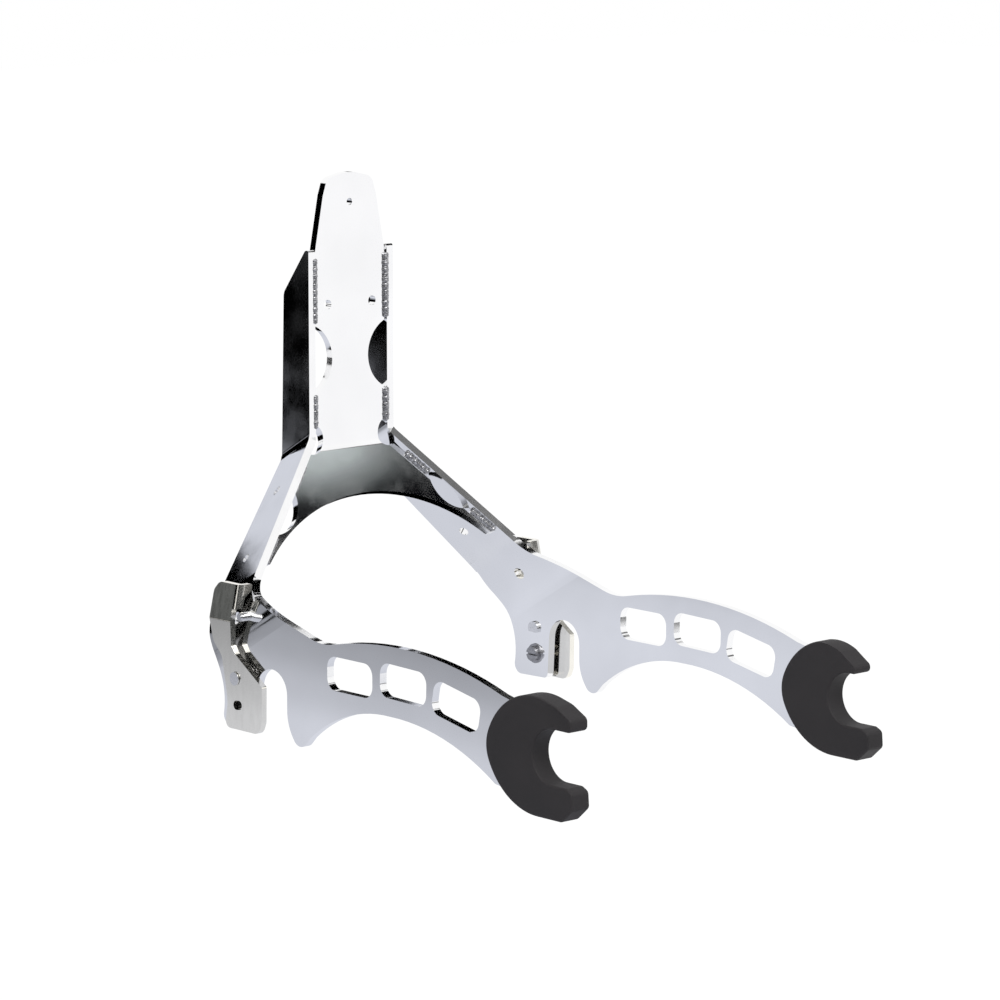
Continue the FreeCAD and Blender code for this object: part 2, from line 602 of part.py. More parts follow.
def turned(name, steps, y, z):
    """A round piece on an X axis: steps of (x from, x to, radius)."""
    body = new_body(name)
    sketch = new_sketch(body, name + "_half", "XY_Plane", Placement(Vector(0, y, z), Rotation()))
    points = [(steps[0][0], 0, 0)]
    for x0, x1, r in steps:
        points.append((x0, r, 0))
        points.append((x1, r, 0))
    points.append((steps[-1][1], 0, 0))
    add_wire(sketch, points)
    doc.recompute()
    feature = body.newObject("PartDesign::Revolution", name + "_turn")
    feature.Profile = sketch
    feature.ReferenceAxis = (sketch, ["H_Axis"])
    feature.Angle = 360
    sketch.Visibility = False
    doc.recompute()
    return body


def block(name, x0, x1, y0, y1, z0, z1):
    box = doc.addObject("Part::Box", name)
    box.Length, box.Width, box.Height = x1 - x0, y1 - y0, z1 - z0
    box.Placement = Placement(Vector(x0, y0, z0), Rotation())
    return box


def ring(name, x0, x1, inner, outer, y, z):
    tube = doc.addObject("Part::Cylinder", name + "_outside")
    tube.Radius, tube.Height = outer, x1 - x0
    hole = doc.addObject("Part::Cylinder", name + "_hole")
    hole.Radius, hole.Height = inner, x1 - x0
    for piece in (tube, hole):
        piece.Placement = Placement(Vector(x0, y, z), Rotation(Vector(0, 1, 0), 90))
    return combine("Part::Cut", name, tube, hole)


# The pivot pin is riveted in the lobe: a head outside the lever and a half-round tail inside the plate.
pin_r = S["pivot_radius"]
head_x = XL + LT + PLAY
pivot_body = turned("pivot_turned", [
    (XA - T - 2.0, XA - T, 5.2), (XA - T, head_x, pin_r), (head_x, head_x + S["pivot_head_height"], S["pivot_head_radius"])], PY, PZ)
tail_cut = block("pivot_tail_flat", XA - T - 3.0, XA - T, PY - 8, PY + 8, PZ - 9, PZ - 2.6)
pivot_left = combine("Part::Cut", "pivot_pin_left", pivot_body, tail_cut)
pivot_right = mirrored(pivot_left, "pivot_pin_right")
bush_left = ring("latch_bush_left", XA, XL - PLAY, pin_r, S["bush_radius"], PY, PZ)
bush_right = mirrored(bush_left, "latch_bush_right")

# The guide bolt stands in the lever's short slot and is clamped in the lobe by its slotted head.
bolt_body = turned("guide_turned", [(XA - T - 4.4, XA - T - 1.0, 5.4), (XA - T - 1.0, XL + LT - S["guide_depth"], S["guide_radius"])], GY, GZ)
driver = block("guide_driver_slot", XA - T - 6, XA - T - 2.9, GY - 9, GY + 9, GZ - 0.8, GZ + 0.8)
guide_left = combine("Part::Cut", "guide_bolt_left", bolt_body, driver)
guide_right = mirrored(guide_left, "guide_bolt_right")
washer_left = ring("guide_washer_left", XA - T - 1.0, XA - T, S["guide_radius"], S["guide_nut_radius"], GY, GZ)
washer_right = mirrored(washer_left, "guide_washer_right")

# The post stands in the arm in front of the lever and stops its swing.
PR = S["post_radius"]
post_end = XA + S["post_length"]
post_left = turned("stop_post_left", [(XA - S["post_socket"], post_end - 1.0, PR), (post_end - 1.0, post_end, PR - 0.8)], POST[0], POST[1])
post_right = mirrored(post_left, "stop_post_right")

# The torsion spring lies round the bush in the gap between the plate and the lever.
wire = S["spring_wire"]
coil = doc.addObject("Part::Helix", "spring_path")
coil.Pitch = 1.15
coil.Height = 1.2
coil.Radius = S["spring_radius"]
coil.Placement = Placement(Vector(XA + 0.62, PY, PZ), Rotation(Vector(0, 1, 0), 90))
spring_section = doc.addObject("Part::Circle", "spring_section")
spring_section.Radius = wire
spring_section.Placement = Placement(coil.Placement.multVec(Vector(S["spring_radius"], 0, 0)), Rotation(Vector(1, 0, 0), 0))
doc.recompute()
start_dir = coil.Shape.Edges[0].tangentAt(coil.Shape.Edges[0].FirstParameter)
spring_section.Placement = Placement(coil.Placement.multVec(Vector(S["spring_radius"], 0, 0)), Rotation(Vector(0, 0, 1), start_dir))
sweep = doc.addObject("Part::Sweep", "latch_spring_left")
sweep.Sections = [spring_section]
sweep.Spine = (coil, ["Edge1"])
sweep.Solid = True
sweep.Frenet = True
doc.recompute()
spring_left = sweep
spring_right = mirrored(spring_left, "latch_spring_right")

# Stitch welds: upright to flanks in front and behind, bridge to legs in front.
WELD = S["weld_radius"]


def bead(name, start, end, radius=WELD):
    line = end - start
    rod = doc.addObject("Part::Cylinder", name)
    rod.Radius = radius
    bind(rod, "Radius", "<weld_radius>")
    rod.Height = line.Length
    rod.Placement = Placement(start, Rotation(Vector(0, 0, 1), line))
    return rod


plates = combine("Part::MultiFuse", "welded_plates", side_left, centre_plate)
half_cut = math.sqrt(S["cutout_radius"] ** 2 - (S["cutout_offset"] - XI) ** 2)
cut_end = (S["cutout_height"] - half_cut, S["cutout_height"] + half_cut)
upright_rods = []
for face_name, y in (("front", front - 0.2), ("rear", front + T + 0.2)):
    for place_name, z0, z1 in (("upper", cut_end[1] + 2.4, taper_foot - 3.0), ("lower", FOOT + 15.5, cut_end[0] - 1.4)):
        upright_rods.append(bead("weld_%s_%s" % (face_name, place_name), Vector(XI - 0.3, y, z0), Vector(XI - 0.3, y, z1)))


def bridge_point(v):
    return Vector(leg_gap(v) - 0.6, front - v * math.sin(LEAN) - 0.2, FOOT - v * math.cos(LEAN))


bridge_rods = [bead("weld_bridge_upper", bridge_point(12.0), bridge_point(28.0)), bead("weld_bridge_lower", bridge_point(62.0), bridge_point(78.5))]
upright_weld_left = combine("Part::Cut", "upright_weld_left", combine("Part::MultiFuse", "upright_beads", *upright_rods), plates)
bridge_weld_left = combine("Part::Cut", "bridge_weld_left", combine("Part::MultiFuse", "bridge_beads", *bridge_rods), plates)
upright_weld_right = mirrored(upright_weld_left, "upright_weld_right")
bridge_weld_right = mirrored(bridge_weld_left, "bridge_weld_right")

EXPORTS = [
    ("centre_plate", centre_plate), ("side_plate_left", side_left), ("side_plate_right", side_right),
    ("jaw_left", jaw_left), ("jaw_right", jaw_right), ("latch_lever_left", latch_left), ("latch_lever_right", latch_right),
    ("pivot_pin_left", pivot_left), ("pivot_pin_right", pivot_right), ("latch_bush_left", bush_left), ("latch_bush_right", bush_right),
    ("guide_bolt_left", guide_left), ("guide_bolt_right", guide_right), ("guide_washer_left", washer_left), ("guide_washer_right", washer_right),
    ("stop_post_left", post_left), ("stop_post_right", post_right), ("latch_spring_left", spring_left), ("latch_spring_right", spring_right),
    ("upright_weld_left", upright_weld_left), ("upright_weld_right", upright_weld_right),
    ("bridge_weld_left", bridge_weld_left), ("bridge_weld_right", bridge_weld_right),
]
doc.recompute()
for item in doc.Objects:
    if any(word in item.State for word in ("Invalid", "Error")):
        raise RuntimeError(item.Name + " is not in order: " + str(item.State))
total = 0.0
for name, item in EXPORTS:
    shape = item.Shape
    if shape.isNull() or not shape.isValid() or not shape.Solids:
        raise RuntimeError(name + " has no valid solid")
    total += shape.Volume
    box = shape.BoundBox
    print("%-20s solids %d volume %8.0f  X %.1f %.1f  Y %.1f %.1f  Z %.1f %.1f" % (
        name, len(shape.Solids), shape.Volume, box.XMin, box.XMax, box.YMin, box.YMax, box.ZMin, box.ZMax))
    shape.exportStep("parts/%s.step" % name)
print("volume", round(total), "mm3")
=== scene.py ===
"""Looks of the motorcycle passenger backrest: chromed plate, weld beads, rubber jaws and latch hardware."""
import math

import bpy
from bpy.props import FloatProperty, FloatVectorProperty, PointerProperty
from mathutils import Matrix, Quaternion, Vector


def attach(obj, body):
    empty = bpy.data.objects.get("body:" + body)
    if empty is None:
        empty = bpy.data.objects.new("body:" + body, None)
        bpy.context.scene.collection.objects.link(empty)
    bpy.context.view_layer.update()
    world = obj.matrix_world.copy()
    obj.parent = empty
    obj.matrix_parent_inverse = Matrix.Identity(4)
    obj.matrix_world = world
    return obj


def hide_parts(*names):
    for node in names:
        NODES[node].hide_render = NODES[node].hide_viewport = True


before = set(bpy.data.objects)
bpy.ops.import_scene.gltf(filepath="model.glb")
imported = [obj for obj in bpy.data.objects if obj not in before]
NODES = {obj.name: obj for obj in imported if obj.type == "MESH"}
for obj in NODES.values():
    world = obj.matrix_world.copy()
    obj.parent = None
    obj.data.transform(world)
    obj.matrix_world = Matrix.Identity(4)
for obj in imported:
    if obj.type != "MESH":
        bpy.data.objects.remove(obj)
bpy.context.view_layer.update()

bl_info = {
    "name": "Passenger Backrest Looks",
    "version": (1, 0, 0),
    "blender": (4, 5, 0),
    "location": "3D View > Sidebar > Backrest",
    "description": "Finishes and small forms of a chromed passenger backrest around its packed CAD frame",
    "category": "Object",
}

SIDES = ("left", "right")

# The plates as the solids have them, in metres and radians. The bridge leans forward on its way down from
# BRIDGE_FOOT. The legs start at the flanks' bends, which pass the upright's front at BEND_HEIGHT. They turn
# outwards and slope to the front.
PLATE = 0.006
UPRIGHT_FRONT = 0.3765
FLANK_OUTER = 0.040
BEND_HEIGHT = 0.159
LEG_TURN = math.radians(42.0)
LEG_SLOPE = math.radians(30.0)
BRIDGE_FOOT = 0.1505
BRIDGE_LEAN = math.radians(26.3)

# Stitch welds: heights on the upright, distances down the bridge, and how far a bead's middle stands proud.
UPRIGHT_STITCHES = ((0.1665, 0.1885), (0.2430, 0.2875))
BRIDGE_STITCHES = ((0.0125, 0.0275), (0.0625, 0.0780))
SEAM_LIFT = 0.0002
BRIDGE_SEAM_LIFT = 0.0006

# A bead's ripples: their spacing, how far they wander and vary in size, their flattening and tilt, and the
# fineness of the skin over them.
RIPPLE_PITCH = 0.0016
RIPPLE_WANDER = 0.00016
RIPPLE_UNEVEN = 0.05
RIPPLE_SQUASH = 0.62
RIPPLE_TILT = 0.38
BEAD_SKIN = 0.00034

# The guide bolts' colour turns from zinc-plated to painted shade, near black as in their holes, between these
# distances from the part's middle.
HOLE_SHADE_INNER = 0.1365
HOLE_SHADE_OUTER = 0.1385

# Tones that are not on the panel.
LEVER_TONE = (0.94, 0.915, 0.84)
LEVER_DARK = (0.90, 0.875, 0.805)
LEVER_LIGHT = (0.97, 0.945, 0.87)
PIN_TONE = (0.8, 0.8, 0.81)
BUSH_TONE = (0.03, 0.03, 0.032)

# The photograph's view of the part.
VIEW_TARGET = Vector((0.0, 0.2135, 0.129))
VIEW_BACK = Vector((-0.6607, -0.7338, 0.1582))
VIEW_DISTANCE = 3.15
VIEW_LENS = 161.0
SENSOR_WIDTH = 36.0

# The floor, and its tone in the chrome by the place across it.
FLOOR_LEVEL = -0.075
FLOOR_START = -1.3
FLOOR_REACH = 1.5
FLOOR_TONES = ((-1.15, 0.002), (-1.06, 0.27), (-0.60, 0.30), (-0.50, 0.375), (-0.40, 0.505), (-0.30, 0.625),
               (-0.15, 0.68), (0.05, 0.635))
FLOOR_LIGHT_FROM = 0.2
FLOOR_LIGHT = (0.99, 0.99, 1.0)

# The ways that cards face, and their colours.
TO_FRONT = (0.0, -1.0, 0.0)
TO_REAR = (0.0, 1.0, 0.0)
TO_RIGHT = (-1.0, 0.0, 0.0)
TO_TAB = (0.63, -0.77, 0.0)
UPWARD = (0.0, 0.0, 1.0)
WHITE = (1.0, 1.0, 1.0)
COOL_GREY = (0.97, 1.0, 1.1)
GREEN_GREY = (0.95, 1.0, 1.05)

# The dark flag that the bridge shows: the way and the distance from the bridge to it, and its reach to the
# sides, further to the left, down and up. Its light patch has its middle and half sizes as they show on the
# bridge.
FLAG_AIM = Vector((0.637, -0.576, 0.513))
FLAG_DISTANCE = 2.0
FLAG_SIDE = 0.13
FLAG_LEFT_EXTRA = 0.06
FLAG_DOWN = 0.085
FLAG_UP = 0.036
PATCH_ACROSS = -0.030
PATCH_UP = 0.001
PATCH_HALF_WIDTH = 0.100
PATCH_HALF_HEIGHT = 0.044
PATCH_DARK = (0.002, 0.002, 0.003)
PATCH_LIGHT = (0.56, 0.61, 0.61)


def both_sides(kind):
    """The names of a kind of piece on the left and on the right."""
    return [kind + "_" + side for side in SIDES]


def scaled(tone, share):
    """A tone made darker or lighter."""
    return tuple(share * level for level in tone)


def node_material(name, pieces, base, metallic, roughness):
    """A fresh material on the given pieces. Its node tree and shader are handed back for detail."""
    material = bpy.data.materials.new(name)
    material.use_nodes = True
    tree = material.node_tree
    shader = tree.nodes["Principled BSDF"]
    shader.inputs["Base Color"].default_value = (*base, 1.0)
    shader.inputs["Metallic"].default_value = metallic
    shader.inputs["Roughness"].default_value = roughness
    for piece in pieces:
        piece.data.materials.clear()
        piece.data.materials.append(material)
    return tree, shader


def object_noise(tree, scale, detail=4.0, stretch=(1.0, 1.0, 1.0)):
    """Noise on Object coordinates, stretched along the piece if asked."""
    place = tree.nodes.new("ShaderNodeTexCoord")
    mapping = tree.nodes.new("ShaderNodeMapping")
    mapping.inputs["Scale"].default_value = stretch
    noise = tree.nodes.new("ShaderNodeTexNoise")
    noise.inputs["Scale"].default_value = scale
    noise.inputs["Detail"].default_value = detail
    tree.links.new(place.outputs["Object"], mapping.inputs["Vector"])
    tree.links.new(mapping.outputs["Vector"], noise.inputs["Vector"])
    return noise


def spread(tree, source, low, high, start=0.35, end=0.65):
    """Maps a factor to a range."""
    ranged = tree.nodes.new("ShaderNodeMapRange")
    ranged.inputs["From Min"].default_value = start
    ranged.inputs["From Max"].default_value = end
    ranged.inputs["To Min"].default_value = low
    ranged.inputs["To Max"].default_value = high
    tree.links.new(source, ranged.inputs["Value"])
    return ranged


def tint(tree, source, dark, light, start=0.35, end=0.65):
    """A colour ramp between two tones."""
    ramp = tree.nodes.new("ShaderNodeValToRGB")
    ramp.color_ramp.elements[0].position = start
    ramp.color_ramp.elements[0].color = (*dark, 1.0)
    ramp.color_ramp.elements[1].position = end
    ramp.color_ramp.elements[1].color = (*light, 1.0)
    tree.links.new(source, ramp.inputs["Fac"])
    return ramp


def colour_by(tree, shader, noise, dark, light):
    """Lets a noise move the base colour between two tones."""
    tone = tint(tree, noise.outputs["Fac"], dark, light)
    tree.links.new(tone.outputs["Color"], shader.inputs["Base Color"])


def roughness_by(tree, shader, noise, low, high):
    """Lets a noise move the roughness between two levels."""
    level = spread(tree, noise.outputs["Fac"], low, high)
    tree.links.new(level.outputs["Result"], shader.inputs["Roughness"])


def bump_by(tree, shader, noise, strength, distance):
    """Turns a noise into a bump on the shader."""
    height = tree.nodes.new("ShaderNodeBump")
    height.inputs["Strength"].default_value = strength
    height.inputs["Distance"].default_value = distance
    tree.links.new(noise.outputs["Fac"], height.inputs["Height"])
    tree.links.new(height.outputs["Normal"], shader.inputs["Normal"])


class BackrestFinish(bpy.types.PropertyGroup):
    """Tones and finishes of the metal and rubber."""

    chrome: FloatVectorProperty(name="Chrome", description="Tone of the plated sheet", subtype="COLOR",
                                default=(0.975, 0.975, 0.98), min=0.0, max=1.0)
    weld: FloatVectorProperty(name="Weld", description="Tone of the plated weld beads", subtype="COLOR",
                              default=(0.56, 0.56, 0.575), min=0.0, max=1.0)
    zinc: FloatVectorProperty(name="Hardware", description="Tone of bolt, washer and spring", subtype="COLOR",
                              default=(0.46, 0.46, 0.48), min=0.0, max=1.0)
    rubber: FloatVectorProperty(name="Rubber", description="Tone of the jaws' cover", subtype="COLOR",
                                default=(0.027, 0.0245, 0.0265), min=0.0, max=1.0)
    ripple_radius: FloatProperty(name="Ripple radius", description="Radius of one ripple of a weld bead",
                                 subtype="DISTANCE", default=0.0026, min=0.001, max=0.004)
    chrome_roughness: FloatProperty(name="Chrome roughness", description="Blur of the chrome's reflection",
                                    default=0.07, min=0.0, max=1.0)
    rubber_roughness: FloatProperty(name="Rubber roughness", description="Blur of the rubber's sheen",
                                    default=0.62, min=0.0, max=1.0)


class BackrestStage(bpy.types.PropertyGroup):
    """Floor and light round the part."""

    floor_size: FloatProperty(name="Floor size", description="Edge of the square floor", subtype="DISTANCE",
                              default=14.0, min=2.0)
    lamp_power: FloatProperty(name="Lamp power", description="Power of the large soft lamp", subtype="POWER",
                              default=26.0, min=0.0)
    world_level: FloatProperty(name="World level", description="Strength of the even light from all sides",
                               default=0.62, min=0.0)


class BACKREST_OT_plates(bpy.types.Operator):
    """Polished chrome on the upright and the side plates."""

    bl_idname = "backrest.plates"
    bl_label = "Chromed Plates"

    def execute(self, context):
        finish = context.scene.backrest_finish
        pieces = [NODES[name] for name in ["centre_plate"] + both_sides("side_plate")]
        blur = finish.chrome_roughness
        tree, shader = node_material("chromed_plate", pieces, finish.chrome, 1.0, blur)
        wide = object_noise(tree, 14.0, 3.0)
        colour_by(tree, shader, wide, scaled(finish.chrome, 0.95), tuple(finish.chrome))
        haze = object_noise(tree, 42.0, 6.0)
        roughness_by(tree, shader, haze, blur - 0.02, blur + 0.03)
        wave = object_noise(tree, 9.0, 2.0)
        bump_by(tree, shader, wave, 0.10, 0.0006)
        return {"FINISHED"}


class BACKREST_OT_levers(bpy.types.Operator):
    """Warmer, brushed plating on the latch levers."""

    bl_idname = "backrest.levers"
    bl_label = "Latch Levers"

    def execute(self, context):
        pieces = [NODES[name] for name in both_sides("latch_lever")]
        tree, shader = node_material("chromed_lever", pieces, LEVER_TONE, 1.0, 0.12)
        wide = object_noise(tree, 30.0, 3.0)
        colour_by(tree, shader, wide, LEVER_DARK, LEVER_LIGHT)
        brushed = object_noise(tree, 60.0, 5.0, (1.0, 5.0, 1.0))
        roughness_by(tree, shader, brushed, 0.10, 0.20)
        bump_by(tree, shader, brushed, 0.06, 0.0003)
        return {"FINISHED"}


class BACKREST_OT_pins(bpy.types.Operator):
    """Turned and plated pivot pins and stop posts."""

    bl_idname = "backrest.pins"
    bl_label = "Pins and Posts"

    def execute(self, context):
        pieces = [NODES[name] for name in both_sides("pivot_pin") + both_sides("stop_post")]
        tree, shader = node_material("chromed_pin", pieces, PIN_TONE, 1.0, 0.16)
        turned = object_noise(tree, 900.0, 2.0, (6.0, 1.0, 1.0))
        roughness_by(tree, shader, turned, 0.12, 0.28)
        bump_by(tree, shader, turned, 0.08, 0.0001)
        return {"FINISHED"}


def bridge_seam(down):
    """The point where bridge and left leg meet, so far down the bridge."""
    y = UPRIGHT_FRONT - down * math.sin(BRIDGE_LEAN) - SEAM_LIFT
    z = BRIDGE_FOOT - down * math.cos(BRIDGE_LEAN)
    rise = math.sin(LEG_SLOPE) * (y - UPRIGHT_FRONT) + math.cos(LEG_SLOPE) * (z - BEND_HEIGHT)
    inward = (PLATE + math.sin(LEG_TURN) * rise) / math.cos(LEG_TURN)
    return Vector((FLANK_OUTER - inward - BRIDGE_SEAM_LIFT, y, z))


def bead_seams():
    """The left side's stitch welds as (start, end) points, for the upright and for the bridge."""
    beside = FLANK_OUTER - PLATE - SEAM_LIFT
    upright = []
    for depth in (UPRIGHT_FRONT - SEAM_LIFT, UPRIGHT_FRONT + PLATE + SEAM_LIFT):
        for low, high in UPRIGHT_STITCHES:
            upright.append((Vector((beside, depth, low)), Vector((beside, depth, high))))
    bridge = []
    for near, far in BRIDGE_STITCHES:
        bridge.append((bridge_seam(near), bridge_seam(far)))
    return {"upright_weld": upright, "bridge_weld": bridge}


def bead_ripple(place, run, radius, mirror):
    """One ripple of a bead: a flattened ball across the run, tilted as the weld froze."""
    bpy.ops.mesh.primitive_uv_sphere_add(segments=20, ring_count=10, radius=radius, location=place)
    ripple = bpy.context.object
    ripple.scale = (1.0, 1.0, RIPPLE_SQUASH)
    tilt = Quaternion((1.0, 0.0, 0.0), RIPPLE_TILT)
    ripple.rotation_euler = (run.to_track_quat("Z", "Y") @ tilt).to_euler()
    bpy.ops.object.transform_apply(location=True, rotation=True, scale=True)
    if mirror:
        for corner in ripple.data.vertices:
            corner.co.x = -corner.co.x
        ripple.data.flip_normals()
    return ripple


def weld_bead(name, seams, mirror, ripple_radius):
    """A stitch weld of overlapping ripples along each seam, fused into one skin."""
    bpy.ops.object.select_all(action="DESELECT")
    bead = None
    for start, end in seams:
        run = end - start
        count = max(3, round(run.length / RIPPLE_PITCH))
        for step in range(count + 1):
            wander = RIPPLE_WANDER * math.sin(2.4 * step + 40.0 * start.z)
            radius = ripple_radius * (1.0 + RIPPLE_UNEVEN * math.sin(1.7 * step + 11.0 * start.y))
            place = start + step / count * run + Vector((0.0, wander, 0.0))
            ripple = bead_ripple(place, run, radius, mirror)
            if bead is None:
                bead = ripple
                bead.name = name
                continue
            bpy.ops.object.select_all(action="DESELECT")
            ripple.select_set(True)
            bead.select_set(True)
            bpy.context.view_layer.objects.active = bead
            bpy.ops.object.join()
    bpy.ops.object.select_all(action="DESELECT")
    bead.select_set(True)
    bpy.context.view_layer.objects.active = bead
    skin = bead.modifiers.new("skin", "REMESH")
    skin.mode = "VOXEL"
    skin.voxel_size = BEAD_SKIN
    bpy.ops.object.modifier_apply(modifier="skin")
    bpy.ops.object.shade_smooth()
    return bead


class BACKREST_OT_welds(bpy.types.Operator):
    """Rippled stitch welds under the plating, along upright, bridge and legs."""

    bl_idname = "backrest.welds"
    bl_label = "Weld Beads"

    def execute(self, context):
        finish = context.scene.backrest_finish
        beads = []
        for side in SIDES:
            for kind, seams in bead_seams().items():
                bead = weld_bead(kind + "_bead_" + side, seams, side == "right", finish.ripple_radius)
                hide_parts(kind + "_" + side)
                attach(bead, "frame")
                beads.append(bead)
        tree, shader = node_material("plated_weld", beads, finish.weld, 1.0, 0.3)
        grain = object_noise(tree, 900.0, 4.0)
        colour_by(tree, shader, grain, scaled(finish.weld, 0.3), tuple(finish.weld))
        roughness_by(tree, shader, grain, 0.24, 0.42)
        bump_by(tree, shader, grain, 0.35, 0.0003)
        return {"FINISHED"}


class BACKREST_OT_washers(bpy.types.Operator):
    """Zinc-plated washers and latch springs."""

    bl_idname = "backrest.washers"
    bl_label = "Washers and Springs"

    def execute(self, context):
        tone = context.scene.backrest_finish.zinc
        pieces = [NODES[name] for name in both_sides("guide_washer") + both_sides("latch_spring")]
        tree, shader = node_material("zinc_plate", pieces, tone, 1.0, 0.35)
        bloom = object_noise(tree, 260.0, 5.0)
        colour_by(tree, shader, bloom, scaled(tone, 0.7), scaled(tone, 1.2))
        roughness_by(tree, shader, bloom, 0.26, 0.46)
        bump_by(tree, shader, bloom, 0.12, 0.0002)
        return {"FINISHED"}


class BACKREST_OT_bolts(bpy.types.Operator):
    """Guide bolts: zinc-plated heads inside the arms, and ends outside with painted shade, near black as in
    their holes.
    """

    bl_idname = "backrest.bolts"
    bl_label = "Guide Bolts"

    def execute(self, context):
        zinc = context.scene.backrest_finish.zinc
        pieces = [NODES[name] for name in both_sides("guide_bolt")]
        tree, shader = node_material("bolt_steel", pieces, zinc, 1.0, 0.35)
        dirt = object_noise(tree, 420.0, 4.0)
        plated = tint(tree, dirt.outputs["Fac"], scaled(zinc, 0.75), scaled(zinc, 1.2))
        roughness_by(tree, shader, dirt, 0.3, 0.5)

        # Painted shade: beyond the arm's inner face the base colour falls to near black, standing in for the
        # shade in the bolt's hole.
        place = tree.nodes.new("ShaderNodeTexCoord")
        split = tree.nodes.new("ShaderNodeSeparateXYZ")
        outward = tree.nodes.new("ShaderNodeMath")
        outward.operation = "ABSOLUTE"
        tree.links.new(place.outputs["Object"], split.inputs["Vector"])
        tree.links.new(split.outputs["X"], outward.inputs[0])
        shade = spread(tree, outward.outputs["Value"], 1.0, 0.03, HOLE_SHADE_INNER, HOLE_SHADE_OUTER)
        shaded = tree.nodes.new("ShaderNodeVectorMath")
        shaded.operation = "SCALE"
        tree.links.new(plated.outputs["Color"], shaded.inputs["Vector"])
        tree.links.new(shade.outputs["Result"], shaded.inputs["Scale"])
        tree.links.new(shaded.outputs["Vector"], shader.inputs["Base Color"])
        return {"FINISHED"}


class BACKREST_OT_bushes(bpy.types.Operator):
    """Plastic bushes between arm and lever."""

    bl_idname = "backrest.bushes"
    bl_label = "Latch Bushes"

    def execute(self, context):
        pieces = [NODES[name] for name in both_sides("latch_bush")]
        tree, shader = node_material("bush_plastic", pieces, BUSH_TONE, 0.0, 0.5)
        grain = object_noise(tree, 1200.0, 3.0)
        roughness_by(tree, shader, grain, 0.42, 0.58)
        bump_by(tree, shader, grain, 0.1, 0.0001)
        return {"FINISHED"}


class BACKREST_OT_jaws(bpy.types.Operator):
    """Moulded rubber on the docking jaws."""

    bl_idname = "backrest.jaws"
    bl_label = "Rubber Jaws"

    def execute(self, context):
        finish = context.scene.backrest_finish
        blur = finish.rubber_roughness
        pieces = [NODES[name] for name in both_sides("jaw")]
        tree, shader = node_material("jaw_rubber", pieces, finish.rubber, 0.0, blur)
        shader.inputs["Specular IOR Level"].default_value = 0.32
        cloud = object_noise(tree, 26.0, 4.0)
        colour_by(tree, shader, cloud, scaled(finish.rubber, 0.88), scaled(finish.rubber, 1.14))
        roughness_by(tree, shader, cloud, blur - 0.06, blur + 0.08)
        grain = object_noise(tree, 1500.0, 3.0)
        bump_by(tree, shader, grain, 0.22, 0.00012)
        return {"FINISHED"}


def floor_place(across):
    """The place on the floor's ramp of a distance across the floor."""
    return (across - FLOOR_START) / FLOOR_REACH


def floor_tone(level):
    """A slightly blue grey of the given level."""
    return (level, level * 1.03, level * 1.13, 1.0)


def studio_floor(size):
    """White paper for the camera, diffuse paper for the light, and a tonal falloff for the chrome."""
    bpy.ops.object.select_all(action="DESELECT")
    bpy.ops.mesh.primitive_plane_add(size=size, location=(0.0, 0.0, FLOOR_LEVEL))
    floor = bpy.context.object
    floor.name = "studio_floor"
    material = bpy.data.materials.new("studio_floor")
    material.use_nodes = True
    tree = material.node_tree
    tree.nodes.clear()

    place = tree.nodes.new("ShaderNodeTexCoord")
    split = tree.nodes.new("ShaderNodeSeparateXYZ")
    tree.links.new(place.outputs["Object"], split.inputs["Vector"])
    along = tree.nodes.new("ShaderNodeMapRange")
    along.inputs["From Min"].default_value = FLOOR_START
    along.inputs["From Max"].default_value = FLOOR_START + FLOOR_REACH
    tree.links.new(split.outputs["X"], along.inputs["Value"])
    # The paper darkens towards the part's right, which gives the arms their falloff.
    ramp = tree.nodes.new("ShaderNodeValToRGB")
    ramp.color_ramp.interpolation = "EASE"
    tree.links.new(along.outputs["Result"], ramp.inputs["Fac"])
    first, last = ramp.color_ramp.elements
    first.position = floor_place(FLOOR_TONES[0][0])
    first.color = floor_tone(FLOOR_TONES[0][1])
    last.position = floor_place(FLOOR_LIGHT_FROM)
    last.color = (*FLOOR_LIGHT, 1.0)
    for across, level in FLOOR_TONES[1:]:
        stop = ramp.color_ramp.elements.new(floor_place(across))
        stop.color = floor_tone(level)

    toned = tree.nodes.new("ShaderNodeEmission")
    tree.links.new(ramp.outputs["Color"], toned.inputs["Color"])
    paper = tree.nodes.new("ShaderNodeBsdfDiffuse")
    paper.inputs["Color"].default_value = (0.9, 0.9, 0.9, 1.0)
    white = tree.nodes.new("ShaderNodeEmission")
    white.inputs["Strength"].default_value = 1.06
    backdrop = tree.nodes.new("ShaderNodeMixShader")
    backdrop.inputs["Fac"].default_value = 0.9
    tree.links.new(paper.outputs["BSDF"], backdrop.inputs[1])
    tree.links.new(white.outputs["Emission"], backdrop.inputs[2])

    path = tree.nodes.new("ShaderNodeLightPath")
    mirrored = tree.nodes.new("ShaderNodeMixShader")
    tree.links.new(path.outputs["Is Glossy Ray"], mirrored.inputs["Fac"])
    tree.links.new(paper.outputs["BSDF"], mirrored.inputs[1])
    tree.links.new(toned.outputs["Emission"], mirrored.inputs[2])
    seen = tree.nodes.new("ShaderNodeMixShader")
    tree.links.new(path.outputs["Is Camera Ray"], seen.inputs["Fac"])
    tree.links.new(mirrored.outputs["Shader"], seen.inputs[1])
    tree.links.new(backdrop.outputs["Shader"], seen.inputs[2])
    out = tree.nodes.new("ShaderNodeOutputMaterial")
    tree.links.new(seen.outputs["Shader"], out.inputs["Surface"])
    floor.data.materials.append(material)


